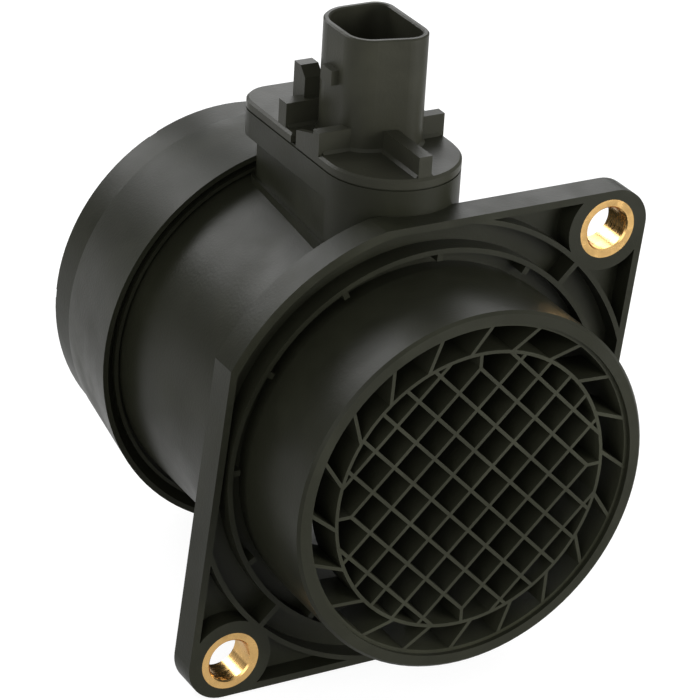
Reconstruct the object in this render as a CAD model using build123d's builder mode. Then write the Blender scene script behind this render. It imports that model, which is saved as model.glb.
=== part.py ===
from build123d import *
import os
from math import atan2, cos, degrees, hypot, radians, sin, sqrt

# Hot-film mass airflow sensor: a moulded flow tube with a two-bolt flange, a flow straightener
# pressed into the inlet spigot, and a plug-in sensor that stands on top with its socket upright.
# Millimetres. The origin is on the duct axis, in the mounting face of the flange.
# +X is to the right as seen from the inlet, +Y runs along the air flow, +Z through the socket.

os.makedirs("parts", exist_ok=True)

# ---- Driving dimensions -------------------------------------------------------------------
# Flow tube, radii from the duct axis and stations along it
SPIGOT_R = 40.0
SPIGOT_LENGTH = 22.2
LIP_BORE_R = 37.2            # counterbore that the straightener is pressed into
DUCT_R = 36.4                # bore behind the straightener
BODY_R = 40.9
BODY_BORE_R = 38.0
BODY_END_Y = 55.2            # front edge of the outlet collar
COLLAR_FRONT_R = 45.7
COLLAR_LIP = 1.2                # flat front of the collar's rim
COLLAR_BEAD_R = 42.5            # outside of the thin ring between body and collar
COLLAR_BEAD_T = 0.8
COLLAR_SLOT = 2.4               # depth of the slots on both sides of that ring
COLLAR_STEP_R = 42.3
COLLAR_STEP_Y = 80.0
OUTLET_R = 41.3
OUTLET_BORE_R = 38.5
OUTLET_Y = 90.1
HOSE_GROOVE_W = 1.2             # stop groove for the hose behind the collar
HOSE_GROOVE_H = 0.8

# Flange, outline symmetric under a half turn about the duct axis
FLANGE_T = 6.9
FLANGE_TOP_Z = 50.1          # straight upper edge; the lower one mirrors it
RIM_R = 51.3                 # round stretches of the outline
RIM_CORNER_ANGLE = 150.2     # where the upper left round stretch ends, from +X
EAR_CORNER_X = 52.0          # where the slanted right edge would meet the upper edge
EAR_R = 8.0
BOLT_CIRCLE_D = 118.0
RIM_WALL_T = 1.6
POCKET_DEPTH = 4.5
RING_RIB_R = 44.1
ARC_RIB_R = 50.4
ARC_RIB_T = 1.1
EAR_RIB_T = 1.3              # rib that ties each boss to the ring
BOSS_R = 9.3
GROOVE_R = 43.0              # seal groove round the spigot
GROOVE_INNER_R = 39.6
GROOVE_DEPTH = 4.0
CRUSH_RIBS = 12
CRUSH_RIB_T = 1.3
CRUSH_RIB_H = 1.5
CRUSH_RIB_START = 27.2

# Brass compression limiters in the ears
BUSHING_R = 6.5
BUSHING_BORE_R = 4.65
BUSHING_CHAMFER = 0.35

# Flow straightener
HOOP_DEPTH = 12.0
GRID_RECESS = 1.0            # front of the straightener below the lip
GRID_DEPTH = 10.0
GRID_WALL = 0.75
GRID_RING_R = 30.4           # inside of the ring between lattice and vanes
LATTICE_PITCH = 6.5
LATTICE_LINES = 4            # on each side of the middle line
SHORT_LINE = 3               # the lines that stop where they cross on the axes
VANES = 20
VANE_START = 4.7
VANE_SWEEP = -8.3            # outer end turned from the inner end, in degrees

# Plinth and sensor head
PLINTH_TOP_Z = 56.0
HEAD_Z = 50.0                # underside of the overhanging head of the plinth
PLATE_T = 2.0
PLATE_HALF = 14.6
NOSE_Y = 19.05               # centre of the round nose
GROOVE_H = 0.4               # parting groove between plinth and head plate
GROOVE_IN = 0.3
PLATE_REAR_Y = 59.75
REAR_CORNER_R = 7.0
NECK_REAR_HALF = 11.6
NECK_REAR_Y = 57.5
NECK_CORNER_R = 5.0
NECK_ROOT_Z = 36.0           # neck runs into the tube wall down to here
NECK_FOOT_W = 0.9            # low step round the foot of the neck
NECK_FOOT_Z = 40.3

# Sensor head: plate, braces and connector shroud
PLATE_CHAMFER = 0.5
FRONT_WEB_Y = 24.1           # middles of the two cross webs
FRONT_WEB_T = 2.6
FRONT_WEB_TOP_Z = 62.7
REAR_WEB_Y = 39.4
REAR_WEB_T = 3.2
REAR_WEB_LENGTH = 28.4
REAR_WEB_TOP_Z = 63.3
RIB_T = 3.0                  # rib along the middle of the plate
RIB_H = 4.5
RIB_FRONT_Y = 5.05
FOOT_SLOPE = 0.6             # sloped feet of webs, rib and shroud
FOOT_REACH = 13.6
RIB_FOOT_Y = 5.3
POST_X = 7.25
POST_WIDTH = 4.1
POST_FRONT_Y = 39.4
POST_REAR_Y = 44.2
POST_TOP_Z = 69.7
POST_SLOPE = 2.1             # slanted upper front edge
GUSSET_T = 1.4
GUSSET_END_Y = 32.4
GUSSET_HIGH_H = 4.0
GUSSET_LOW_H = 1.7
EDGE_SLOT_Y = 33.45
EDGE_SLOT_LENGTH = 2.1
EDGE_SLOT_DEPTH = 1.2
RIM_Z = 82.0
SHROUD_LEFT_X = -8.3
SHROUD_RIGHT_X = 9.2
SHROUD_CORNERS = [
    (SHROUD_RIGHT_X, 40.5),
    (SHROUD_LEFT_X, 40.5),
    (SHROUD_LEFT_X, 21.4),
    (SHROUD_RIGHT_X, 17.2),
]
SHROUD_CORNER_RADII = [4.0, 7.5, 6.0, 5.0]
SHROUD_WALL = 1.3
RIM_CHAMFER = 0.3
SOCKET_FLOOR_Z = 63.0
LUG_Y = 29.75                # latching lug on the left side of the shroud
LUG_OUT = 1.6
LUG_LENGTH = 4.5
LUG_Z = 70.5
LUG_H = 3.2

# Terminals
PINS = 5
PIN_PITCH = 2.6
PIN_ROW_Y = 31.4
PIN_X_SIZE = 0.64
PIN_Y_SIZE = 1.0
PIN_TIP_Z = 75.0
PIN_ROOT_Z = 37.0
PIN_CHAMFER = 0.25

# Collar that plugs into the flow tube
COLLAR_HALF = 8.0
COLLAR_LENGTH = 28.0
PROBE_Y = 32.1               # middle of collar and probe
HOLE_GAP = 0.6               # round the collar, closed by the seal
SEAL_Z = 49.0
SEAL_H = 2.6
SEAL_DEPTH = 1.8             # groove in the collar

# Probe that hangs from the collar into the air stream
PROBE_HALF = 6.0
PROBE_FRONT_Y = 19.5
PROBE_REAR_Y = 44.5
LEAD_R = 4.0                 # corners of the leading edge
TRAIL_R = 3.5                # corners of the trailing edge
PROBE_TOP_Z = 43.0
PROBE_TIP_Z = -15.0
PROBE_TIP_CHAMFER = 1.2

# Chamber for the electronics, opened towards -X and closed by a cover
COVER_T = 1.2
COVER_WIDTH = 16.0
COVER_CORNER_R = 1.5
LEDGE = 1.25                 # seat of a cover round its opening
CHAMBER_MID_Z = 27.0
CHAMBER_COVER_H = 26.5
CHAMBER_FLOOR_X = 2.4
BASE_PLATE_T = 0.8
SUBSTRATE_T = 0.6
SUBSTRATE_WIDTH = 11.5
SUBSTRATE_HEIGHT = 20.0
CHIP_SIZE = 4.0
CHIP_T = 1.0
CAPACITOR_T = 0.7
GEL_T = 3.4

# Bypass for the measured air: in at the leading edge, up, and back over the sensing chip
BYPASS_MID_Z = -1.5
BYPASS_COVER_H = 24.0
BYPASS_FLOOR_X = 2.0
RUN_H = 5.5                  # height of each run of the bypass
LOWER_RUN_Z = -9.0
UPPER_RUN_Z = 6.0
RUN_FRONT_Y = 26.0
RUN_REAR_Y = 39.0
INLET_X = -0.5
INLET_WIDTH = 5.0
HOLDER_T = 1.2
HOLDER_WIDTH = 6.0
HOLDER_TOP_Z = 18.0
HOLDER_TIP_Z = 4.0
SENSING_CHIP_SIZE = 3.0
SENSING_CHIP_T = 0.4

# Air temperature thermistor in a recess on the +X side of the probe
BEAD_R = 1.1
BEAD_X = 4.8
BEAD_Z = 0.0
WIRE_R = 0.25
WIRE_PITCH = 1.2
RECESS_FLOOR_X = 3.4
RECESS_LENGTH = 8.0
RECESS_H = 12.0
WIRE_GRIP = 2.5              # how deep the wires go into the plastic

BOLT_C = BOLT_CIRCLE_D / 2 * cos(radians(45))
EARS = [(BOLT_C, BOLT_C), (-BOLT_C, -BOLT_C)]
PLATE_TOP_Z = PLINTH_TOP_Z + PLATE_T


def polar(radius, angle):
    """Point at a radius and an angle in degrees."""
    return (radius * cos(radians(angle)), radius * sin(radians(angle)))


# ---- Flange outline -----------------------------------------------------------------------
edge_start_x = sqrt(RIM_R**2 - FLANGE_TOP_Z**2)
rim_mid_angle = (RIM_CORNER_ANGLE + degrees(atan2(FLANGE_TOP_Z, -edge_start_x))) / 2
corner_x, corner_z = polar(RIM_R, RIM_CORNER_ANGLE)
rim_mid_x, rim_mid_z = polar(RIM_R, rim_mid_angle)

with BuildSketch(Plane.XZ) as flange_face:
    with BuildLine():
        for turn in (1, -1):
            edge_start = (-turn * edge_start_x, turn * FLANGE_TOP_Z)
            Polyline(
                edge_start,
                (turn * EAR_CORNER_X, turn * FLANGE_TOP_Z),
                (-turn * corner_x, -turn * corner_z),
            )
            ThreePointArc(
                edge_start,
                (turn * rim_mid_x, turn * rim_mid_z),
                (turn * corner_x, turn * corner_z),
            )
    make_face()
    ear_corners = flange_face.vertices().sort_by_distance((0, 0, 0))[-2:]
    fillet(ear_corners, radius=EAR_R)

with BuildSketch(Plane.XZ) as arc_rib:
    Circle(ARC_RIB_R)
    Circle(ARC_RIB_R - ARC_RIB_T, mode=Mode.SUBTRACT)

# What is cored out of the flange: a channel inside the round rims and the corners of the ears
with BuildSketch(Plane.XZ) as flange_pockets:
    offset(flange_face.sketch_local, amount=-RIM_WALL_T, kind=Kind.INTERSECTION)
    add(arc_rib.sketch_local, mode=Mode.SUBTRACT)
    Circle(RING_RIB_R, mode=Mode.SUBTRACT)
    with Locations(*EARS):
        Circle(BOSS_R, mode=Mode.SUBTRACT)
    Rectangle(BOLT_CIRCLE_D, EAR_RIB_T, rotation=45, mode=Mode.SUBTRACT)


# ---- Plinth outlines ----------------------------------------------------------------------
def head_outline(rear_half, rear_y, corner_r):
    """Plan with a round nose towards the inlet and a rear end with rounded corners."""
    with BuildSketch() as plan:
        with BuildLine():
            nose = CenterArc((0, NOSE_Y), PLATE_HALF, 180, 180)
            Polyline(nose @ 1, (rear_half, rear_y), (-rear_half, rear_y), nose @ 0)
        make_face()
        fillet(plan.vertices().group_by(Axis.Y)[-1], radius=corner_r)
    return plan.sketch


plate_plan = head_outline(PLATE_HALF, PLATE_REAR_Y, REAR_CORNER_R)
neck_plan = head_outline(NECK_REAR_HALF, NECK_REAR_Y, NECK_CORNER_R)

# ---- Flow tube ----------------------------------------------------------------------------
with BuildPart() as flow_tube:
    # Outside of the tube: spigot, body and flared outlet collar with a stepped hose end
    with BuildSketch(Plane.XY):
        with BuildLine():
            Polyline(
                (0, -SPIGOT_LENGTH),
                (SPIGOT_R - 0.6, -SPIGOT_LENGTH),
                (SPIGOT_R, -SPIGOT_LENGTH + 0.6),
                (SPIGOT_R, FLANGE_T / 2),
                (BODY_R, FLANGE_T / 2),
                (BODY_R, BODY_END_Y + COLLAR_SLOT),
                (COLLAR_BEAD_R - COLLAR_BEAD_T, BODY_END_Y + COLLAR_SLOT),
                (COLLAR_BEAD_R - COLLAR_BEAD_T, BODY_END_Y + 1.0),
                (COLLAR_BEAD_R, BODY_END_Y + 1.0),
                (COLLAR_BEAD_R, BODY_END_Y + COLLAR_SLOT),
                (COLLAR_FRONT_R - COLLAR_LIP, BODY_END_Y),
                (COLLAR_FRONT_R, BODY_END_Y),
                (COLLAR_STEP_R, COLLAR_STEP_Y),
                (OUTLET_R - HOSE_GROOVE_H, COLLAR_STEP_Y),
                (OUTLET_R - HOSE_GROOVE_H, COLLAR_STEP_Y + HOSE_GROOVE_W),
                (OUTLET_R, COLLAR_STEP_Y + HOSE_GROOVE_W),
                (OUTLET_R, OUTLET_Y - 1.0),
                (OUTLET_R - 1.0, OUTLET_Y),
                (0, OUTLET_Y),
                close=True,
            )
        make_face()
    revolve(axis=Axis.Y)

    # Flange, and the plinth: a head that overhangs a narrower neck at the rear
    extrude(flange_face.sketch, amount=-FLANGE_T)
    with BuildSketch(Plane.XY.offset(NECK_ROOT_Z)):
        add(neck_plan)
    extrude(amount=HEAD_Z - NECK_ROOT_Z)
    with BuildSketch(Plane.XY.offset(NECK_ROOT_Z)):
        offset(neck_plan, amount=NECK_FOOT_W)
    extrude(amount=NECK_FOOT_Z - NECK_ROOT_Z)
    with BuildSketch(Plane.XY.offset(HEAD_Z)):
        add(plate_plan)
    extrude(amount=PLINTH_TOP_Z - GROOVE_H - HEAD_Z)
    with BuildSketch(Plane.XY.offset(PLINTH_TOP_Z - GROOVE_H)):
        offset(plate_plan, amount=-GROOVE_IN)
    extrude(amount=GROOVE_H)

    # Cored pockets and the seal groove in the mounting face
    extrude(flange_pockets.sketch, amount=-POCKET_DEPTH, mode=Mode.SUBTRACT)
    with BuildSketch(Plane.XZ):
        Circle(GROOVE_R)
        Circle(GROOVE_INNER_R, mode=Mode.SUBTRACT)
    extrude(amount=-GROOVE_DEPTH, mode=Mode.SUBTRACT)
    with BuildSketch(Plane.XZ.offset(-GROOVE_DEPTH)):
        with PolarLocations(GROOVE_R - CRUSH_RIB_H / 2, CRUSH_RIBS, CRUSH_RIB_START):
            Rectangle(CRUSH_RIB_H + 0.4, CRUSH_RIB_T)
    extrude(amount=GROOVE_DEPTH - 0.3)
    with BuildSketch(Plane.XZ):
        with Locations(*EARS):
            Circle(BUSHING_R)
    extrude(amount=-FLANGE_T, mode=Mode.SUBTRACT)

    # Air duct
    with BuildSketch(Plane.XY):
        with BuildLine():
            Polyline(
                (0, -SPIGOT_LENGTH),
                (LIP_BORE_R, -SPIGOT_LENGTH),
                (LIP_BORE_R, -SPIGOT_LENGTH + GRID_RECESS + HOOP_DEPTH),
                (DUCT_R, -SPIGOT_LENGTH + GRID_RECESS + HOOP_DEPTH),
                (DUCT_R, 2.0),
                (BODY_BORE_R, 9.0),
                (BODY_BORE_R, COLLAR_STEP_Y),
                (OUTLET_BORE_R, OUTLET_Y),
                (0, OUTLET_Y),
                close=True,
            )
        make_face()
    revolve(axis=Axis.Y, mode=Mode.SUBTRACT)

    # Hole for the plug-in sensor, down through plinth and tube wall
    with BuildSketch(Plane.XY.offset(PLINTH_TOP_Z)):
        with Locations((0, PROBE_Y)):
            SlotOverall(
                COLLAR_LENGTH + 2 * HOLE_GAP, 2 * (COLLAR_HALF + HOLE_GAP), rotation=90
            )
    extrude(amount=-(PLINTH_TOP_Z - 20.0), mode=Mode.SUBTRACT)

    # Two small notches in the outlet rim
    for angle in (116.9, 176.8):
        notch_x, notch_z = polar(OUTLET_R, angle)
        with BuildSketch(Plane.XZ.offset(-OUTLET_Y)):
            with Locations((notch_x, notch_z)):
                Rectangle(2.0, 2.0, rotation=angle)
        extrude(amount=1.2, mode=Mode.SUBTRACT)

flow_tube.part.label = "flow_tube_housing"
export_step(flow_tube.part, "parts/flow_tube_housing.step")

# ---- Flow straightener --------------------------------------------------------------------
grid_front = Plane.XZ.offset(SPIGOT_LENGTH - GRID_RECESS)
last_crossing = SHORT_LINE * LATTICE_PITCH * sqrt(2)

with BuildPart() as straightener:
    with BuildSketch(grid_front):
        Circle(LIP_BORE_R)
        Circle(DUCT_R, mode=Mode.SUBTRACT)
    extrude(amount=-HOOP_DEPTH)
    with BuildSketch(grid_front):
        Circle(GRID_RING_R + GRID_WALL)
        Circle(GRID_RING_R, mode=Mode.SUBTRACT)
        # Square lattice on the diagonal, with a crossing on the duct axis
        for line in range(-LATTICE_LINES, LATTICE_LINES + 1):
            reach = line * LATTICE_PITCH
            half_chord = sqrt((GRID_RING_R + GRID_WALL / 2) ** 2 - reach**2)
            if abs(line) == SHORT_LINE:
                half_chord = abs(reach) + GRID_WALL / 2
            for slant in (45, 135):
                with Locations(polar(reach, slant + 90)):
                    Rectangle(2 * half_chord, GRID_WALL, rotation=slant)
        # Short ribs that tie the outermost crossings to the ring
        with PolarLocations((last_crossing + GRID_RING_R) / 2, 4):
            Rectangle(GRID_RING_R - last_crossing + 0.8, GRID_WALL)
        # Swirl vanes between ring and hoop
        for vane in range(VANES):
            start = VANE_START + vane * 360 / VANES
            inner_x, inner_z = polar(GRID_RING_R + GRID_WALL / 2, start)
            outer_x, outer_z = polar(DUCT_R + 0.4, start + VANE_SWEEP)
            with Locations(((inner_x + outer_x) / 2, (inner_z + outer_z) / 2)):
                Rectangle(
                    hypot(outer_x - inner_x, outer_z - inner_z),
                    GRID_WALL,
                    rotation=degrees(atan2(outer_z - inner_z, outer_x - inner_x)),
                )
    extrude(amount=-GRID_DEPTH)
straightener.part.label = "flow_straightener"
export_step(straightener.part, "parts/flow_straightener.step")

# ---- Flange bushings ----------------------------------------------------------------------
for place, ear in zip(("upper", "lower"), EARS):
    with BuildPart() as bushing:
        with BuildSketch(Plane.XZ):
            with Locations(ear):
                Circle(BUSHING_R)
                Circle(BUSHING_BORE_R, mode=Mode.SUBTRACT)
        extrude(amount=-FLANGE_T)
        bore_edges = bushing.edges().filter_by(GeomType.CIRCLE).group_by(SortBy.RADIUS)[0]
        chamfer(bore_edges.sort_by(Axis.Y)[0], length=BUSHING_CHAMFER)
    bushing.part.label = f"flange_bushing_{place}"
    export_step(bushing.part, f"parts/flange_bushing_{place}.step")


# ---- Plug-in sensor: plans ----------------------------------------------------------------
def shroud_outline(inset):
    """Plan of the socket: four corners rounded unequally as a key, and a slanted front."""
    with BuildSketch() as plan:
        with BuildLine():
            Polyline(*SHROUD_CORNERS, close=True)
        make_face()
        for corner, radius in zip(SHROUD_CORNERS, SHROUD_CORNER_RADII):
            fillet(plan.vertices().sort_by_distance(corner)[0], radius=radius)
        if inset:
            offset(amount=-inset, kind=Kind.INTERSECTION, mode=Mode.REPLACE)
    return plan.sketch


def foot_section(middle, thickness):
    """Section of the sloped feet on both sides of a wall that stands on the plate."""
    side = thickness / 2
    return [
        (middle - side - FOOT_SLOPE, PLATE_TOP_Z),
        (middle + side + FOOT_SLOPE, PLATE_TOP_Z),
        (middle + side, PLATE_TOP_Z + FOOT_SLOPE),
        (middle - side, PLATE_TOP_Z + FOOT_SLOPE),
    ]


def probe_outline():
    """Plan of the probe: flat sides, with the corners of both edges rounded."""
    with BuildSketch() as plan:
        with Locations((0, (PROBE_FRONT_Y + PROBE_REAR_Y) / 2)):
            Rectangle(2 * PROBE_HALF, PROBE_REAR_Y - PROBE_FRONT_Y)
        fillet(plan.vertices().group_by(Axis.Y)[0], radius=LEAD_R)
        fillet(plan.vertices().group_by(Axis.Y)[-1], radius=TRAIL_R)
    return plan.sketch


def cover_outline(mid_z, height, inset):
    """Rounded plate outline on the -X side of the probe, y across and z up."""
    with BuildSketch() as plan:
        with Locations((PROBE_Y, mid_z)):
            RectangleRounded(COVER_WIDTH - 2 * inset, height - 2 * inset, COVER_CORNER_R)
    return plan.sketch


shroud_plan = shroud_outline(0)
socket_plan = shroud_outline(SHROUD_WALL)
probe_plan = probe_outline()
side_plane = Plane.YZ.offset(-PROBE_HALF)
pin_places = [(0, PIN_ROW_Y + (n - (PINS - 1) / 2) * PIN_PITCH) for n in range(PINS)]
wire_places = [(BEAD_X, PROBE_Y - WIRE_PITCH / 2), (BEAD_X, PROBE_Y + WIRE_PITCH / 2)]
recess_top_z = BEAD_Z + RECESS_H / 2
front_of_substrate = CHAMBER_FLOOR_X - BASE_PLATE_T - SUBSTRATE_T
chamber_width = COVER_WIDTH - 2 * LEDGE
chamber_height = CHAMBER_COVER_H - 2 * LEDGE

# ---- Plug-in sensor: carrier --------------------------------------------------------------
with BuildPart() as carrier:
    # Head plate with a softened upper edge and a slot in its left side
    with BuildSketch(Plane.XY.offset(PLINTH_TOP_Z)):
        add(plate_plan)
        with Locations((-PLATE_HALF, EDGE_SLOT_Y)):
            Rectangle(2 * EDGE_SLOT_DEPTH, EDGE_SLOT_LENGTH, mode=Mode.SUBTRACT)
    extrude(amount=PLATE_T)
    chamfer(carrier.faces().sort_by(Axis.Z)[-1].edges(), length=PLATE_CHAMFER)

    # Webs across the plate that brace the shroud, and the rib along its middle
    with BuildSketch(Plane.XY.offset(PLINTH_TOP_Z)):
        with Locations((0, FRONT_WEB_Y)):
            Rectangle(2 * PLATE_HALF, FRONT_WEB_T)
    extrude(amount=FRONT_WEB_TOP_Z - PLINTH_TOP_Z)
    with BuildSketch(Plane.XY.offset(PLATE_TOP_Z)):
        with Locations((0, REAR_WEB_Y)):
            Rectangle(REAR_WEB_LENGTH, REAR_WEB_T)
    extrude(amount=REAR_WEB_TOP_Z - PLATE_TOP_Z)
    with BuildSketch(Plane.XY.offset(PLATE_TOP_Z)):
        with Locations((0, (RIB_FRONT_Y + PIN_ROW_Y) / 2)):
            Rectangle(RIB_T, PIN_ROW_Y - RIB_FRONT_Y)
    extrude(amount=RIB_H)

    # Sloped feet along both sides of webs and rib
    for middle, thickness in ((FRONT_WEB_Y, FRONT_WEB_T), (REAR_WEB_Y, REAR_WEB_T)):
        with BuildSketch(Plane.YZ):
            Polygon(*foot_section(middle, thickness), align=None)
        extrude(amount=FOOT_REACH, both=True)
    with BuildSketch(Plane.XZ.offset(-RIB_FOOT_Y)):
        Polygon(*foot_section(0, RIB_T), align=None)
    extrude(amount=RIB_FOOT_Y - PIN_ROW_Y)

    # Two posts on the rear web, with a slanted upper front edge
    for side in (-1, 1):
        with BuildSketch(Plane.YZ.offset(side * POST_X)):
            Polygon(
                (POST_FRONT_Y, PLATE_TOP_Z),
                (POST_REAR_Y, PLATE_TOP_Z),
                (POST_REAR_Y, POST_TOP_Z),
                (POST_FRONT_Y + POST_SLOPE, POST_TOP_Z),
                (POST_FRONT_Y, POST_TOP_Z - POST_SLOPE),
                align=None,
            )
        extrude(amount=POST_WIDTH / 2, both=True)

    # Gussets that fall away rearwards from the ends of the front web
    for side in (-1, 1):
        with BuildSketch(Plane.YZ.offset(side * (PLATE_HALF - GUSSET_T / 2))):
            Polygon(
                (FRONT_WEB_Y, PLINTH_TOP_Z),
                (GUSSET_END_Y, PLINTH_TOP_Z),
                (GUSSET_END_Y, PLATE_TOP_Z + GUSSET_LOW_H),
                (FRONT_WEB_Y, PLATE_TOP_Z + GUSSET_HIGH_H),
                align=None,
            )
        extrude(amount=GUSSET_T / 2, both=True)

    # Connector shroud with a latching lug on its left side
    with BuildSketch(Plane.XY.offset(PLATE_TOP_Z)):
        add(shroud_plan)
    extrude(amount=RIM_Z - PLATE_TOP_Z)
    with BuildSketch(Plane.XY.offset(PLATE_TOP_Z)):
        offset(shroud_plan, amount=FOOT_SLOPE)
    extrude(amount=FOOT_SLOPE, taper=45)
    with BuildSketch(Plane.XY.offset(LUG_Z)):
        with Locations((SHROUD_LEFT_X, LUG_Y)):
            Rectangle(2 * LUG_OUT, LUG_LENGTH)
    extrude(amount=LUG_H)
    with BuildSketch(Plane.XY.offset(SOCKET_FLOOR_Z)):
        add(socket_plan)
    extrude(amount=RIM_Z - SOCKET_FLOOR_Z, mode=Mode.SUBTRACT)
    chamfer(carrier.faces().sort_by(Axis.Z)[-1].edges(), length=RIM_CHAMFER)

    # Collar with the groove for its seal
    with BuildSketch(Plane.XY.offset(PLINTH_TOP_Z)):
        with Locations((0, PROBE_Y)):
            SlotOverall(COLLAR_LENGTH, 2 * COLLAR_HALF, rotation=90)
    extrude(amount=PROBE_TOP_Z - PLINTH_TOP_Z)
    with BuildSketch(Plane.XY.offset(SEAL_Z)):
        with Locations((0, PROBE_Y)):
            SlotOverall(COLLAR_LENGTH, 2 * COLLAR_HALF, rotation=90)
            SlotOverall(
                COLLAR_LENGTH - 2 * SEAL_DEPTH,
                2 * (COLLAR_HALF - SEAL_DEPTH),
                rotation=90,
                mode=Mode.SUBTRACT,
            )
    extrude(amount=SEAL_H, mode=Mode.SUBTRACT)

    # Probe in the air stream
    with BuildSketch(Plane.XY.offset(PROBE_TOP_Z)):
        add(probe_plan)
    extrude(amount=PROBE_TIP_Z - PROBE_TOP_Z)
    chamfer(carrier.faces().sort_by(Axis.Z)[0].edges(), length=PROBE_TIP_CHAMFER)

    # Seats for the two covers, then the electronics chamber behind the upper one
    with BuildSketch(side_plane):
        add(cover_outline(CHAMBER_MID_Z, CHAMBER_COVER_H, 0))
        add(cover_outline(BYPASS_MID_Z, BYPASS_COVER_H, 0))
    extrude(amount=COVER_T, mode=Mode.SUBTRACT)
    with BuildSketch(side_plane):
        add(cover_outline(CHAMBER_MID_Z, CHAMBER_COVER_H, LEDGE))
    extrude(amount=PROBE_HALF + CHAMBER_FLOOR_X, mode=Mode.SUBTRACT)

    # Bypass: lower run, riser and upper run, fed by a window in the leading edge
    with BuildSketch(side_plane):
        with Locations(
            ((RUN_FRONT_Y + RUN_REAR_Y) / 2, LOWER_RUN_Z),
            ((RUN_FRONT_Y + RUN_REAR_Y) / 2, UPPER_RUN_Z),
        ):
            Rectangle(RUN_REAR_Y - RUN_FRONT_Y, RUN_H)
        with Locations((RUN_REAR_Y - RUN_H / 2, (LOWER_RUN_Z + UPPER_RUN_Z) / 2)):
            Rectangle(RUN_H, UPPER_RUN_Z - LOWER_RUN_Z + RUN_H)
    extrude(amount=PROBE_HALF + BYPASS_FLOOR_X, mode=Mode.SUBTRACT)
    with BuildSketch(Plane.XZ.offset(-RUN_FRONT_Y)):
        with Locations((INLET_X, LOWER_RUN_Z)):
            Rectangle(INLET_WIDTH, RUN_H)
    extrude(amount=RUN_FRONT_Y, mode=Mode.SUBTRACT)

    # Slot through the wall between chamber and bypass for the holder of the sensing chip
    with BuildSketch(Plane.XY.offset(HOLDER_TIP_Z)):
        with Locations((front_of_substrate - HOLDER_T / 2, PROBE_Y)):
            Rectangle(HOLDER_T, HOLDER_WIDTH)
    extrude(amount=HOLDER_TOP_Z - HOLDER_TIP_Z, mode=Mode.SUBTRACT)

    # Recess of the thermistor, with the two wires held in its upper end
    with BuildSketch(Plane.YZ.offset(RECESS_FLOOR_X)):
        with Locations((PROBE_Y, BEAD_Z)):
            Rectangle(RECESS_LENGTH, RECESS_H)
    extrude(amount=PROBE_HALF, mode=Mode.SUBTRACT)
    with BuildSketch(Plane.XY.offset(recess_top_z)):
        with Locations(*wire_places):
            Circle(WIRE_R)
    extrude(amount=WIRE_GRIP, mode=Mode.SUBTRACT)

    # Passages moulded tight round the terminals
    with BuildSketch(Plane.XY.offset(PIN_ROOT_Z)):
        with Locations(*pin_places):
            Rectangle(PIN_X_SIZE, PIN_Y_SIZE)
    extrude(amount=PIN_TIP_Z - PIN_ROOT_Z, mode=Mode.SUBTRACT)

carrier.part.label = "sensor_carrier"
export_step(carrier.part, "parts/sensor_carrier.step")

# ---- Seal and covers ----------------------------------------------------------------------
with BuildPart() as seal:
    with BuildSketch(Plane.XY.offset(SEAL_Z)):
        with Locations((0, PROBE_Y)):
            SlotOverall(
                COLLAR_LENGTH + 2 * HOLE_GAP, 2 * (COLLAR_HALF + HOLE_GAP), rotation=90
            )
            SlotOverall(
                COLLAR_LENGTH - 2 * SEAL_DEPTH,
                2 * (COLLAR_HALF - SEAL_DEPTH),
                rotation=90,
                mode=Mode.SUBTRACT,
            )
    extrude(amount=SEAL_H)
seal.part.label = "probe_seal_ring"
export_step(seal.part, "parts/probe_seal_ring.step")

with BuildPart() as electronics_cover:
    with BuildSketch(side_plane):
        add(cover_outline(CHAMBER_MID_Z, CHAMBER_COVER_H, 0))
    extrude(amount=COVER_T)
electronics_cover.part.label = "electronics_cover"
export_step(electronics_cover.part, "parts/electronics_cover.step")

# The bypass cover has the window through which the measured air leaves
with BuildPart() as bypass_cover:
    with BuildSketch(side_plane):
        add(cover_outline(BYPASS_MID_Z, BYPASS_COVER_H, 0))
        with Locations((RUN_FRONT_Y + RUN_H / 4, UPPER_RUN_Z)):
            Rectangle(RUN_H / 2, RUN_H, mode=Mode.SUBTRACT)
    extrude(amount=COVER_T)
bypass_cover.part.label = "bypass_cover"
export_step(bypass_cover.part, "parts/bypass_cover.step")

# ---- Electronics --------------------------------------------------------------------------
with BuildPart() as base_plate:
    with BuildSketch(Plane.YZ.offset(CHAMBER_FLOOR_X - BASE_PLATE_T)):
        with Locations((PROBE_Y, CHAMBER_MID_Z)):
            RectangleRounded(chamber_width - 1.0, chamber_height - 1.0, 1.0)
    extrude(amount=BASE_PLATE_T)
base_plate.part.label = "base_plate"
export_step(base_plate.part, "parts/base_plate.step")

with BuildPart() as substrate:
    with BuildSketch(Plane.YZ.offset(front_of_substrate)):
        with Locations((PROBE_Y, CHAMBER_MID_Z)):
            Rectangle(SUBSTRATE_WIDTH, SUBSTRATE_HEIGHT)
    extrude(amount=SUBSTRATE_T)
substrate.part.label = "circuit_substrate"
export_step(substrate.part, "parts/circuit_substrate.step")

with BuildPart() as signal_chip:
    with BuildSketch(Plane.YZ.offset(front_of_substrate - CHIP_T)):
        with Locations((PROBE_Y, CHAMBER_MID_Z)):
            Rectangle(CHIP_SIZE, CHIP_SIZE)
    extrude(amount=CHIP_T)
signal_chip.part.label = "signal_chip"
export_step(signal_chip.part, "parts/signal_chip.step")

with BuildPart() as capacitors:
    with BuildSketch(Plane.YZ.offset(front_of_substrate - CAPACITOR_T)):
        with Locations((PROBE_Y, CHAMBER_MID_Z)):
            with GridLocations(SUBSTRATE_WIDTH - 3.0, SUBSTRATE_HEIGHT / 2, 2, 2):
                Rectangle(0.8, 1.6)
    extrude(amount=CAPACITOR_T)
capacitors.part.label = "chip_capacitors"
export_step(capacitors.part, "parts/chip_capacitors.step")

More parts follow.
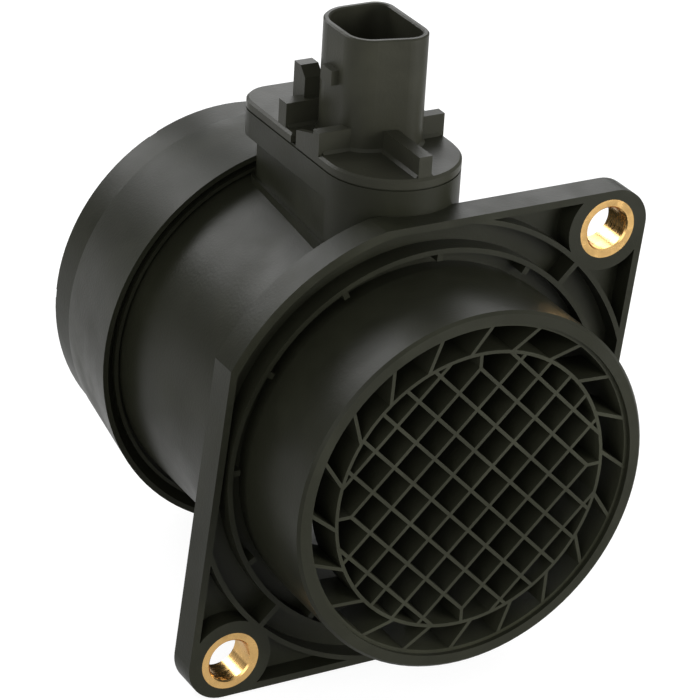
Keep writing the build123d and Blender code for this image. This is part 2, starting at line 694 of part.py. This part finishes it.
with BuildPart() as holder:
    with BuildSketch(Plane.YZ.offset(front_of_substrate - HOLDER_T)):
        with Locations((PROBE_Y, (HOLDER_TOP_Z + HOLDER_TIP_Z) / 2)):
            Rectangle(HOLDER_WIDTH, HOLDER_TOP_Z - HOLDER_TIP_Z)
    extrude(amount=HOLDER_T)
holder.part.label = "sensing_chip_holder"
export_step(holder.part, "parts/sensing_chip_holder.step")

with BuildPart() as sensing_chip:
    with BuildSketch(Plane.YZ.offset(front_of_substrate - HOLDER_T - SENSING_CHIP_T)):
        with Locations((PROBE_Y, UPPER_RUN_Z)):
            Rectangle(SENSING_CHIP_SIZE, SENSING_CHIP_SIZE)
    extrude(amount=SENSING_CHIP_T)
sensing_chip.part.label = "sensing_chip"
export_step(sensing_chip.part, "parts/sensing_chip.step")

# Five terminals, blades that are moulded into the carrier
for number, place in enumerate(pin_places, start=1):
    with BuildPart() as pin:
        with BuildSketch(Plane.XY.offset(PIN_ROOT_Z)):
            with Locations(place):
                Rectangle(PIN_X_SIZE, PIN_Y_SIZE)
        extrude(amount=PIN_TIP_Z - PIN_ROOT_Z)
        chamfer(pin.faces().sort_by(Axis.Z)[-1].edges(), length=PIN_CHAMFER)
    pin.part.label = f"terminal_pin_{number}"
    export_step(pin.part, f"parts/terminal_pin_{number}.step")

# Gel over the circuit, poured round everything that stands on the base plate
with BuildPart() as gel:
    with BuildSketch(Plane.YZ.offset(CHAMBER_FLOOR_X - GEL_T)):
        add(cover_outline(CHAMBER_MID_Z, CHAMBER_COVER_H, LEDGE))
    extrude(amount=GEL_T)
    for piece in (base_plate, substrate, signal_chip, capacitors, holder):
        add(piece.part, mode=Mode.SUBTRACT)
    with BuildSketch(Plane.XY.offset(PIN_ROOT_Z)):
        with Locations(*pin_places):
            Rectangle(PIN_X_SIZE, PIN_Y_SIZE)
    extrude(amount=PIN_TIP_Z - PIN_ROOT_Z, mode=Mode.SUBTRACT)
gel.part.label = "potting_gel"
export_step(gel.part, "parts/potting_gel.step")

# ---- Thermistor ---------------------------------------------------------------------------
with BuildPart() as bead:
    with Locations((BEAD_X, PROBE_Y, BEAD_Z)):
        Cylinder(BEAD_R, 2 * BEAD_R)
    chamfer(bead.edges().filter_by(GeomType.CIRCLE), length=BEAD_R / 3)
bead.part.label = "thermistor_bead"
export_step(bead.part, "parts/thermistor_bead.step")

with BuildPart() as wires:
    with BuildSketch(Plane.XY.offset(BEAD_Z)):
        with Locations(*wire_places):
            Circle(WIRE_R)
    extrude(amount=recess_top_z + WIRE_GRIP - BEAD_Z)
    add(bead.part, mode=Mode.SUBTRACT)
wires.part.label = "thermistor_leads"
export_step(wires.part, "parts/thermistor_leads.step")
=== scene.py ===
"""Dresses a packed mass airflow sensor: plastics, metals and electronics finishes, and a white studio."""

import math

import bmesh
import bpy
from mathutils import Matrix, Vector


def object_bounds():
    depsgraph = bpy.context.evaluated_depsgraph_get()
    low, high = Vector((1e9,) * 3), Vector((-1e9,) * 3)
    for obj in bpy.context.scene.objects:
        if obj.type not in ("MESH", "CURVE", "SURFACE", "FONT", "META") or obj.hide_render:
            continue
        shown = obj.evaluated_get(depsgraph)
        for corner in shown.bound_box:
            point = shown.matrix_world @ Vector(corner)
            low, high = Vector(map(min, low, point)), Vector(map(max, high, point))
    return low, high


bl_info = {
    "name": "Mass Airflow Sensor Dressing",
    "version": (1, 0, 0),
    "blender": (4, 5, 0),
    "location": "View3D > Sidebar > Airflow",
    "description": "Gives each piece of a mass airflow sensor its finish and sets up the studio",
    "category": "Object",
}

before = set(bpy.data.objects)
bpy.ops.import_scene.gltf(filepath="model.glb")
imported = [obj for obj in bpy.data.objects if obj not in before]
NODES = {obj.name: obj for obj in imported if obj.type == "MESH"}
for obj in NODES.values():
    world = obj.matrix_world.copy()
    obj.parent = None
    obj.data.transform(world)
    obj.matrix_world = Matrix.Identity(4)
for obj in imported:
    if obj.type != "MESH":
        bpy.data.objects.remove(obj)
CAD_LOW, CAD_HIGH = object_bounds()

# Which nodes share a finish
TUBE_NODES = ("flow_tube_housing",)
GRID_NODES = ("flow_straightener",)
SENSOR_NODES = ("sensor_carrier",)
COVER_NODES = ("electronics_cover", "bypass_cover", "sensing_chip_holder")
BUSHING_NODES = ("flange_bushing_upper", "flange_bushing_lower")
PIN_NODES = tuple(f"terminal_pin_{number}" for number in range(1, 6))

# Plastics: how grain and rubbed patches change the finish
PLASTIC_IOR = 1.52
PATCH_EDGES = (0.48, 0.72)  # noise levels where a rubbed patch starts and is full
PATCH_LIGHT = 1.4  # rubbed patches against the plain colour
PATCH_ROUGHNESS = 0.08
PLASTIC_SWING = 0.07  # roughness varies by this much both ways
GRAIN_BUMP = 0.14
GRAIN_DEPTH = 0.0002

# Turned metal: scratches run round +Y, the axis of the limiters
SCRATCH_SCALE = 2800.0
SCRATCH_STRETCH = (0.15, 1.0, 0.15)
SCRATCH_BUMP = 0.10
SCRATCH_DEPTH = 0.00005
POLISHED, DULLED = -0.06, 0.10  # least and most change of roughness
TARNISH_SCALE = 160.0
TARNISH_SHADE = 0.72

# Rubber, ceramic and chip bodies
MOTTLE_SCALE = 600.0
MOTTLE_LIGHT = 1.15
MOTTLE_SWING = 0.05
MOTTLE_BUMP = 0.08
MOTTLE_DEPTH = 0.0001

# Small parts of the circuit: material, colour, roughness, node
CIRCUIT_PARTS = (
    ("Fired Alumina", (0.78, 0.77, 0.73), 0.45, "circuit_substrate"),
    ("Chip Epoxy", (0.02, 0.02, 0.022), 0.4, "signal_chip"),
    ("Capacitor Ceramic", (0.42, 0.30, 0.18), 0.4, "chip_capacitors"),
    ("Sensing Silicon", (0.13, 0.15, 0.18), 0.15, "sensing_chip"),
    ("Thermistor Glass", (0.16, 0.07, 0.03), 0.1, "thermistor_bead"),
)

# Clear gel over the circuit
GEL_TINT = (0.9, 0.9, 0.88)
GEL_IOR = 1.41
GEL_ROUGHNESS = (0.05, 0.12)  # least and most
RIPPLE_SCALE = 120.0

NOISE_LOW, NOISE_HIGH = 0.3, 0.7  # where nearly all of a noise texture lies

# Studio
PAPER_COLOUR = (0.9, 0.9, 0.9)
PAPER_ROUGHNESS = 0.9
PAPER_RADIUS = 3.0
PAPER_GAP = 0.0005  # below the lowest point of the part
PAPER_FADE = 0.25  # how far in front and behind the paper's brightness changes in reflections
PAPER_GLOW = 0.75  # share of the paper's look that shadows don't reach
PAPER_WHITE = 1.15  # glow to the camera, which brings unlit paper up to white
SURROUND_TINT = (0.98, 1.0, 1.0)  # light and reflections, a trace cooler than the lamps
WHITE = (1.0, 1.0, 1.0)
GLOSS_RISE = (0.05, 0.5)  # upward slopes between which the surround brightens in reflections
LAMPS = (  # name, place with Y counted from the middle of the part's length, size, setting of its power
    ("Key Lamp", (-0.60, -0.40, 0.32), 0.60, "key_power"),
    ("Fill Lamp", (0.42, -0.62, 0.08), 0.50, "fill_power"),
    ("Back Lamp", (0.44, 0.72, 0.50), 0.55, "back_power"),
    ("Rear Lamp", (-0.25, 0.72, 0.53), 0.45, "rear_power"),
)


# ---- Settings a user would change ---------------------------------------------------------
def colour_property(name, description, default):
    return bpy.props.FloatVectorProperty(
        name=name, description=description, default=default, size=3, subtype="COLOR", min=0.0, max=1.0
    )


def share_property(name, description, default):
    return bpy.props.FloatProperty(
        name=name, description=description, default=default, subtype="FACTOR", min=0.0, max=1.0
    )


def strength_property(name, description, default):
    return bpy.props.FloatProperty(name=name, description=description, default=default, min=0.0)


def power_property(name, description, watts):
    return bpy.props.FloatProperty(
        name=name, description=description, default=watts, unit="POWER", min=0.0
    )


def angle_property(name, description, degrees):
    return bpy.props.FloatProperty(
        name=name, description=description, default=math.radians(degrees), subtype="ANGLE"
    )


def length_property(name, description, default):
    return bpy.props.FloatProperty(name=name, description=description, default=default, unit="LENGTH")


class PlasticSettings(bpy.types.PropertyGroup):
    """Black moulded plastics of the tube, the straightener and the sensor."""

    tube_colour: colour_property("Tube", "Colour of the flow tube", (0.0130, 0.0134, 0.0085))
    grid_colour: colour_property("Straightener", "Colour of the straightener", (0.0178, 0.0184, 0.0116))
    sensor_colour: colour_property("Sensor", "Colour of the plug-in sensor", (0.0202, 0.0202, 0.0142))
    tube_roughness: share_property("Tube roughness", "Roughness of the flow tube", 0.36)
    sensor_roughness: share_property("Sensor roughness", "Roughness of the plug-in sensor", 0.34)
    gloss: share_property("Gloss", "Specular level of the plastics, 0.5 as the IOR gives it", 0.10)
    grain_size: bpy.props.FloatProperty(
        name="Grain", description="Size of the moulded grain", default=0.0006, unit="LENGTH", min=0.0001
    )


class MetalSettings(bpy.types.PropertyGroup):
    """Brass limiters, tinned terminals and the aluminium base plate."""

    brass_colour: colour_property("Brass", "Colour of the compression limiters", (0.80, 0.50, 0.19))
    tin_colour: colour_property("Tin", "Colour of the terminals and wires", (0.72, 0.71, 0.69))
    aluminium_colour: colour_property("Aluminium", "Colour of the base plate", (0.74, 0.74, 0.76))
    brass_roughness: share_property("Brass roughness", "Roughness of the limiters", 0.22)


class StudioSettings(bpy.types.PropertyGroup):
    """Camera, lamps and white surroundings."""

    azimuth: angle_property("Azimuth", "Camera's turn about the vertical", -30.37)
    elevation: angle_property("Elevation", "Camera's height angle", 26.5)
    roll: angle_property("Roll", "Camera's turn about its own axis", 3.52)
    distance: length_property("Distance", "From the camera to the lip of the spigot", 0.70309)
    aim_right: length_property("Aim right", "How far the lip's centre lies right of the aim", 0.02485)
    aim_up: length_property("Aim up", "How far the lip's centre lies above the aim", -0.02871)
    focal_length: bpy.props.FloatProperty(
        name="Focal length", description="Lens for a 36 mm wide sensor", default=180.0, min=1.0
    )
    horizon_light: strength_property("Horizon light", "Strength of the surround at the horizon", 0.8)
    zenith_light: strength_property("Zenith light", "Strength of the surround overhead", 0.50)
    horizon_gloss: strength_property("Horizon gloss", "The surround's horizon in reflections", 0.2)
    zenith_gloss: strength_property("Zenith gloss", "The upper surround in reflections", 0.8)
    front_gloss: strength_property("Front gloss", "The paper in front, in reflections", 0.3)
    rear_gloss: strength_property("Rear gloss", "The paper behind, in reflections", 1.0)
    key_power: power_property("Key lamp", "Power of the large lamp at the left", 2.2)
    fill_power: power_property("Fill lamp", "Power of the low lamp in front at the right", 9.0)
    back_power: power_property("Back lamp", "Power of the lamp behind at the right", 2.6)
    rear_power: power_property("Rear lamp", "Power of the lamp behind at the left", 4.4)


# ---- Node helpers -------------------------------------------------------------------------
def new_material(name):
    """Empty node tree with a Principled BSDF that feeds the output."""
    material = bpy.data.materials.new(name)
    material.use_nodes = True
    tree = material.node_tree
    tree.nodes.clear()
    output = tree.nodes.new("ShaderNodeOutputMaterial")
    shader = tree.nodes.new("ShaderNodeBsdfPrincipled")
    tree.links.new(shader.outputs["BSDF"], output.inputs["Surface"])
    return material, tree, shader


def new_group(name, inputs, outputs):
    """Shader node group with sockets given as (name, type, default)."""
    group = bpy.data.node_groups.new(name, "ShaderNodeTree")
    for socket_name, socket_type, default in inputs:
        socket = group.interface.new_socket(name=socket_name, in_out="INPUT", socket_type=socket_type)
        if default is not None:
            socket.default_value = default
    for socket_name, socket_type in outputs:
        group.interface.new_socket(name=socket_name, in_out="OUTPUT", socket_type=socket_type)
    start = group.nodes.new("NodeGroupInput")
    end = group.nodes.new("NodeGroupOutput")
    return group, start, end


def feed(tree, socket, value):
    """Links an input to another node's output, or sets it."""
    if isinstance(value, bpy.types.NodeSocket):
        tree.links.new(value, socket)
    else:
        socket.default_value = value


def math_node(tree, operation, first, second):
    """Math node whose operands are sockets or numbers."""
    node = tree.nodes.new("ShaderNodeMath")
    node.operation = operation
    feed(tree, node.inputs[0], first)
    feed(tree, node.inputs[1], second)
    return node.outputs[0]


def noise_node(tree, vector, scale, detail, roughness=0.5):
    """Noise texture, its scale a socket or a number."""
    node = tree.nodes.new("ShaderNodeTexNoise")
    node.inputs["Detail"].default_value = detail
    node.inputs["Roughness"].default_value = roughness
    tree.links.new(vector, node.inputs["Vector"])
    feed(tree, node.inputs["Scale"], scale)
    return node.outputs["Fac"]


def range_node(tree, value, from_min, from_max, to_min, to_max):
    """Map Range node with plain numbers."""
    node = tree.nodes.new("ShaderNodeMapRange")
    tree.links.new(value, node.inputs["Value"])
    numbers = (from_min, from_max, to_min, to_max)
    for socket_name, number in zip(("From Min", "From Max", "To Min", "To Max"), numbers):
        node.inputs[socket_name].default_value = number
    return node.outputs["Result"]


# A Mix node's sockets share names, so the next two helpers pick them by number
def switch_node(tree, mask, first, second):
    """Mix of two values: the first where the mask is 0, the second where it is 1."""
    node = tree.nodes.new("ShaderNodeMix")
    tree.links.new(mask, node.inputs[0])
    feed(tree, node.inputs[2], first)
    feed(tree, node.inputs[3], second)
    return node.outputs[0]


def mix_colour(tree, factor, first, second):
    """Mix node of two colours, each three numbers."""
    node = tree.nodes.new("ShaderNodeMix")
    node.data_type = "RGBA"
    tree.links.new(factor, node.inputs[0])
    node.inputs[6].default_value = (*first, 1.0)
    node.inputs[7].default_value = (*second, 1.0)
    return node.outputs[2]


def bump_node(tree, height, strength, distance):
    """Bump node from a height socket."""
    node = tree.nodes.new("ShaderNodeBump")
    node.inputs["Strength"].default_value = strength
    node.inputs["Distance"].default_value = distance
    tree.links.new(height, node.inputs["Height"])
    return node.outputs["Normal"]


# ---- Effects that several finishes share --------------------------------------------------
def grain_group():
    """Moulded grain: fine pebble plus slow waviness from shrinkage."""
    name = "Moulded Grain"
    if name in bpy.data.node_groups:
        return bpy.data.node_groups[name]
    group, start, end = new_group(
        name,
        (
            ("Vector", "NodeSocketVector", None),
            ("Grain Scale", "NodeSocketFloat", 1600.0),
            ("Wave Scale", "NodeSocketFloat", 60.0),
            ("Waviness", "NodeSocketFloat", 0.5),
        ),
        (("Height", "NodeSocketFloat"), ("Variation", "NodeSocketFloat")),
    )
    place = start.outputs["Vector"]
    fine = noise_node(group, place, start.outputs["Grain Scale"], detail=2.0)
    wave = noise_node(group, place, start.outputs["Wave Scale"], detail=3.0, roughness=0.55)
    raised = math_node(group, "MULTIPLY", wave, start.outputs["Waviness"])
    height = math_node(group, "ADD", fine, raised)
    group.links.new(height, end.inputs["Height"])
    group.links.new(wave, end.inputs["Variation"])
    return group


def handling_group():
    """Rubbed patches as a mask from 0 to 1."""
    name = "Handling Marks"
    if name in bpy.data.node_groups:
        return bpy.data.node_groups[name]
    group, start, end = new_group(
        name,
        (("Vector", "NodeSocketVector", None), ("Patch Scale", "NodeSocketFloat", 45.0)),
        (("Patches", "NodeSocketFloat"),),
    )
    place = start.outputs["Vector"]
    broad = noise_node(group, place, start.outputs["Patch Scale"], detail=4.0, roughness=0.6)
    patches = range_node(group, broad, *PATCH_EDGES, 0.0, 1.0)
    group.links.new(patches, end.inputs["Patches"])
    return group


def place_group(tree, group, vector, values=()):
    """Puts a node group into a tree, feeds its Vector and sets its other inputs by name."""
    node = tree.nodes.new("ShaderNodeGroup")
    node.node_tree = group
    tree.links.new(vector, node.inputs["Vector"])
    for socket_name, value in values:
        node.inputs[socket_name].default_value = value
    return node


# ---- Finishes -----------------------------------------------------------------------------
def moulded_plastic(name, colour, roughness, plastic):
    """Black glass-filled plastic: fine grain and rubbed patches a little lighter."""
    material, tree, shader = new_material(name)
    place = tree.nodes.new("ShaderNodeTexCoord").outputs["Object"]
    grain = place_group(tree, grain_group(), place, (("Grain Scale", 1.0 / plastic.grain_size),))
    patches = place_group(tree, handling_group(), place).outputs["Patches"]
    lighter = tuple(channel * PATCH_LIGHT for channel in colour)
    tree.links.new(mix_colour(tree, patches, colour, lighter), shader.inputs["Base Color"])
    rubbed = math_node(tree, "MULTIPLY", patches, PATCH_ROUGHNESS)
    low, high = roughness - PLASTIC_SWING, roughness + PLASTIC_SWING
    varied = range_node(tree, grain.outputs["Variation"], NOISE_LOW, NOISE_HIGH, low, high)
    tree.links.new(math_node(tree, "ADD", varied, rubbed), shader.inputs["Roughness"])
    shader.inputs["IOR"].default_value = PLASTIC_IOR
    shader.inputs["Specular IOR Level"].default_value = plastic.gloss
    normal = bump_node(tree, grain.outputs["Height"], GRAIN_BUMP, GRAIN_DEPTH)
    tree.links.new(normal, shader.inputs["Normal"])
    return material


def turned_metal(name, colour, roughness):
    """Metal with fine turning scratches and slight tarnish."""
    material, tree, shader = new_material(name)
    place = tree.nodes.new("ShaderNodeTexCoord").outputs["Object"]
    marks = place_group(tree, handling_group(), place, (("Patch Scale", TARNISH_SCALE),))
    darker = tuple(channel * TARNISH_SHADE for channel in colour)
    tarnished = mix_colour(tree, marks.outputs["Patches"], colour, darker)
    tree.links.new(tarnished, shader.inputs["Base Color"])
    stretch = tree.nodes.new("ShaderNodeMapping")
    stretch.inputs["Scale"].default_value = SCRATCH_STRETCH
    tree.links.new(place, stretch.inputs["Vector"])
    scratches = noise_node(tree, stretch.outputs["Vector"], SCRATCH_SCALE, detail=2.0)
    low, high = roughness + POLISHED, roughness + DULLED
    varied = range_node(tree, scratches, NOISE_LOW, NOISE_HIGH, low, high)
    tree.links.new(varied, shader.inputs["Roughness"])
    shader.inputs["Metallic"].default_value = 1.0
    tree.links.new(bump_node(tree, scratches, SCRATCH_BUMP, SCRATCH_DEPTH), shader.inputs["Normal"])
    return material


def plain_part(name, colour, roughness):
    """Rubber, ceramic and chip bodies: slight mottling and a fine tooth."""
    material, tree, shader = new_material(name)
    place = tree.nodes.new("ShaderNodeTexCoord").outputs["Object"]
    mottle = noise_node(tree, place, MOTTLE_SCALE, detail=3.0)
    lighter = tuple(min(1.0, channel * MOTTLE_LIGHT) for channel in colour)
    tree.links.new(mix_colour(tree, mottle, colour, lighter), shader.inputs["Base Color"])
    low, high = roughness - MOTTLE_SWING, roughness + MOTTLE_SWING
    tree.links.new(range_node(tree, mottle, NOISE_LOW, NOISE_HIGH, low, high), shader.inputs["Roughness"])
    tree.links.new(bump_node(tree, mottle, MOTTLE_BUMP, MOTTLE_DEPTH), shader.inputs["Normal"])
    return material


def clear_gel(name):
    """Soft clear silicone gel."""
    material, tree, shader = new_material(name)
    place = tree.nodes.new("ShaderNodeTexCoord").outputs["Object"]
    ripple = noise_node(tree, place, RIPPLE_SCALE, detail=2.0)
    varied = range_node(tree, ripple, NOISE_LOW, NOISE_HIGH, *GEL_ROUGHNESS)
    tree.links.new(varied, shader.inputs["Roughness"])
    shader.inputs["Base Color"].default_value = (*GEL_TINT, 1.0)
    shader.inputs["Transmission Weight"].default_value = 1.0
    shader.inputs["IOR"].default_value = GEL_IOR
    return material


def put_on(material, names):
    """Gives CAD nodes a material in every slot."""
    for name in names:
        slots = NODES[name].data.materials
        slots.clear()
        slots.append(material)


# ---- Operators ----------------------------------------------------------------------------
class AIRFLOW_OT_flow_tube(bpy.types.Operator):
    """Finish the flow tube in black grained plastic"""

    bl_idname = "airflow.flow_tube"
    bl_label = "Flow Tube"

    def execute(self, context):
        plastic = context.scene.airflow_plastic
        colour = tuple(plastic.tube_colour)
        tube = moulded_plastic("Tube Plastic", colour, plastic.tube_roughness, plastic)
        put_on(tube, TUBE_NODES)
        return {"FINISHED"}


class AIRFLOW_OT_straightener(bpy.types.Operator):
    """Finish the flow straightener in black plastic"""

    bl_idname = "airflow.straightener"
    bl_label = "Flow Straightener"

    def execute(self, context):
        plastic = context.scene.airflow_plastic
        colour = tuple(plastic.grid_colour)
        grid = moulded_plastic("Straightener Plastic", colour, plastic.tube_roughness, plastic)
        put_on(grid, GRID_NODES)
        return {"FINISHED"}


class AIRFLOW_OT_bushings(bpy.types.Operator):
    """Finish the two compression limiters in turned brass"""

    bl_idname = "airflow.bushings"
    bl_label = "Flange Bushings"

    def execute(self, context):
        metal = context.scene.airflow_metal
        brass = turned_metal("Turned Brass", tuple(metal.brass_colour), metal.brass_roughness)
        put_on(brass, BUSHING_NODES)
        return {"FINISHED"}


class AIRFLOW_OT_sensor(bpy.types.Operator):
    """Finish the plug-in sensor, its covers, seal and terminals"""

    bl_idname = "airflow.sensor"
    bl_label = "Plug-in Sensor"

    def execute(self, context):
        plastic = context.scene.airflow_plastic
        metal = context.scene.airflow_metal
        colour = tuple(plastic.sensor_colour)
        body = moulded_plastic("Sensor Plastic", colour, plastic.sensor_roughness, plastic)
        put_on(body, SENSOR_NODES + COVER_NODES)
        put_on(plain_part("Seal Rubber", (0.03, 0.03, 0.03), 0.6), ("probe_seal_ring",))
        tin = turned_metal("Tinned Contact", tuple(metal.tin_colour), 0.25)
        put_on(tin, PIN_NODES + ("thermistor_leads",))
        return {"FINISHED"}


class AIRFLOW_OT_electronics(bpy.types.Operator):
    """Finish the circuit, its chips, the gel and the thermistor"""

    bl_idname = "airflow.electronics"
    bl_label = "Electronics"

    def execute(self, context):
        metal = context.scene.airflow_metal
        put_on(turned_metal("Rolled Aluminium", tuple(metal.aluminium_colour), 0.35), ("base_plate",))
        for name, colour, roughness, node in CIRCUIT_PARTS:
            put_on(plain_part(name, colour, roughness), (node,))
        put_on(clear_gel("Potting Gel"), ("potting_gel",))
        return {"FINISHED"}


class AIRFLOW_OT_studio(bpy.types.Operator):
    """Set up the white floor, the surround, the lamps and the camera"""

    bl_idname = "airflow.studio"
    bl_label = "Studio"

    def execute(self, context):
        scene = context.scene
        studio = scene.airflow_studio
        scene.view_settings.view_transform = "Standard"
        add_floor(studio)
        light_surround(scene, studio)
        middle = (CAD_LOW[1] + CAD_HIGH[1]) / 2
        for name, (right, behind, above), size, setting in LAMPS:
            add_lamp(scene, name, (right, middle + behind, above), size, getattr(studio, setting))
        add_camera(scene, studio)
        return {"FINISHED"}


def add_floor(studio):
    """Round white floor under the part, dimmer in reflections towards the front."""
    mesh = bpy.data.meshes.new("Studio Floor")
    shape = bmesh.new()
    ground = Matrix.Translation((0, 0, CAD_LOW[2] - PAPER_GAP))
    bmesh.ops.create_circle(shape, cap_ends=True, segments=96, radius=PAPER_RADIUS, matrix=ground)
    shape.to_mesh(mesh)
    shape.free()
    floor = bpy.data.objects.new("studio_floor", mesh)
    bpy.context.scene.collection.objects.link(floor)
    material, tree, shader = new_material("Studio Paper")
    shader.inputs["Base Color"].default_value = (*PAPER_COLOUR, 1.0)
    shader.inputs["Roughness"].default_value = PAPER_ROUGHNESS
    glow = tree.nodes.new("ShaderNodeEmission")
    rays = tree.nodes.new("ShaderNodeLightPath")
    seen = math_node(tree, "MAXIMUM", rays.outputs["Is Camera Ray"], rays.outputs["Is Glossy Ray"])
    seen = math_node(tree, "MAXIMUM", seen, rays.outputs["Is Transmission Ray"])
    place = tree.nodes.new("ShaderNodeSeparateXYZ")
    tree.links.new(tree.nodes.new("ShaderNodeTexCoord").outputs["Object"], place.inputs["Vector"])
    front, rear = studio.front_gloss, studio.rear_gloss
    gloss = range_node(tree, place.outputs["Y"], -PAPER_FADE, PAPER_FADE, front, rear)
    level = switch_node(tree, rays.outputs["Is Glossy Ray"], PAPER_WHITE, gloss)
    tree.links.new(level, glow.inputs["Strength"])
    blend = tree.nodes.new("ShaderNodeMixShader")
    tree.links.new(math_node(tree, "MULTIPLY", seen, PAPER_GLOW), blend.inputs["Fac"])
    tree.links.new(shader.outputs["BSDF"], blend.inputs[1])
    tree.links.new(glow.outputs["Emission"], blend.inputs[2])
    tree.links.new(blend.outputs["Shader"], tree.nodes["Material Output"].inputs["Surface"])
    mesh.materials.append(material)


def light_surround(scene, studio):
    """Surround that is white to the camera, with its own levels for reflections and for soft light."""
    world = bpy.data.worlds.new("Studio Surround")
    scene.world = world
    world.use_nodes = True
    tree = world.node_tree
    tree.nodes.clear()
    output = tree.nodes.new("ShaderNodeOutputWorld")
    background = tree.nodes.new("ShaderNodeBackground")
    rays = tree.nodes.new("ShaderNodeLightPath")
    place = tree.nodes.new("ShaderNodeTexCoord")
    height = tree.nodes.new("ShaderNodeSeparateXYZ")
    tree.links.new(place.outputs["Generated"], height.inputs["Vector"])
    up = height.outputs["Z"]
    light = range_node(tree, up, 0.0, 1.0, studio.horizon_light, studio.zenith_light)
    gloss = range_node(tree, up, *GLOSS_RISE, studio.horizon_gloss, studio.zenith_gloss)
    clear = math_node(tree, "MAXIMUM", rays.outputs["Is Camera Ray"], rays.outputs["Is Transmission Ray"])
    level = switch_node(tree, clear, switch_node(tree, rays.outputs["Is Glossy Ray"], light, gloss), 1.0)
    tree.links.new(level, background.inputs["Strength"])
    tint = mix_colour(tree, clear, SURROUND_TINT, WHITE)
    tree.links.new(tint, background.inputs["Color"])
    tree.links.new(background.outputs["Background"], output.inputs["Surface"])


def add_lamp(scene, name, place, size, power):
    """Square area lamp aimed at the middle of the part."""
    lamp = bpy.data.lights.new(name, "AREA")
    lamp.size = size
    lamp.energy = power
    holder = bpy.data.objects.new(name, lamp)
    scene.collection.objects.link(holder)
    holder.location = place
    middle = (Vector(CAD_LOW) + Vector(CAD_HIGH)) / 2
    holder.rotation_euler = (middle - Vector(place)).to_track_quat("-Z", "Y").to_euler()


def add_camera(scene, studio):
    """Long lens that looks down on the inlet from the left."""
    camera = bpy.data.cameras.new("Camera")
    camera.sensor_width = 36.0
    camera.lens = studio.focal_length
    camera.clip_end = 20.0
    holder = bpy.data.objects.new("Camera", camera)
    scene.collection.objects.link(holder)
    turn, lift = studio.azimuth, studio.elevation
    towards_camera = Vector(
        (math.sin(turn) * math.cos(lift), -math.cos(turn) * math.cos(lift), math.sin(lift))
    )
    level_right = Vector((math.cos(turn), math.sin(turn), 0.0))
    level_up = towards_camera.cross(level_right)
    right = level_right * math.cos(studio.roll) + level_up * math.sin(studio.roll)
    up = level_up * math.cos(studio.roll) - level_right * math.sin(studio.roll)
    lip = Vector((0.0, CAD_LOW[1], 0.0))
    holder.matrix_world = Matrix.Translation(
        lip + towards_camera * studio.distance - right * studio.aim_right - up * studio.aim_up
    ) @ Matrix((right, up, towards_camera)).transposed().to_4x4()
    scene.camera = holder


class AIRFLOW_PT_panel(bpy.types.Panel):
    """Sidebar panel with every step and setting"""

    bl_idname = "AIRFLOW_PT_panel"
    bl_label = "Mass Airflow Sensor"
    bl_space_type = "VIEW_3D"
    bl_region_type = "UI"
    bl_category = "Airflow"

    def draw(self, context):
        for operator in OPERATORS:
            self.layout.operator(operator.bl_idname)
        for settings in (
            context.scene.airflow_plastic,
            context.scene.airflow_metal,
            context.scene.airflow_studio,
        ):
            for name in settings.__annotations__:
                self.layout.prop(settings, name)


OPERATORS = (
    AIRFLOW_OT_flow_tube,
    AIRFLOW_OT_straightener,
    AIRFLOW_OT_bushings,
    AIRFLOW_OT_sensor,
    AIRFLOW_OT_electronics,
    AIRFLOW_OT_studio,
)
CLASSES = (PlasticSettings, MetalSettings, StudioSettings, *OPERATORS, AIRFLOW_PT_panel)


def register():
    for item in CLASSES:
        bpy.utils.register_class(item)
    bpy.types.Scene.airflow_plastic = bpy.props.PointerProperty(type=PlasticSettings)
    bpy.types.Scene.airflow_metal = bpy.props.PointerProperty(type=MetalSettings)
    bpy.types.Scene.airflow_studio = bpy.props.PointerProperty(type=StudioSettings)


def unregister():
    del bpy.types.Scene.airflow_studio
    del bpy.types.Scene.airflow_metal
    del bpy.types.Scene.airflow_plastic
    for item in reversed(CLASSES):
        bpy.utils.unregister_class(item)


def main():
    register()
    bpy.ops.airflow.flow_tube()
    bpy.ops.airflow.straightener()
    bpy.ops.airflow.bushings()
    bpy.ops.airflow.sensor()
    bpy.ops.airflow.electronics()
    bpy.ops.airflow.studio()


if __name__ == "__main__":
    main()
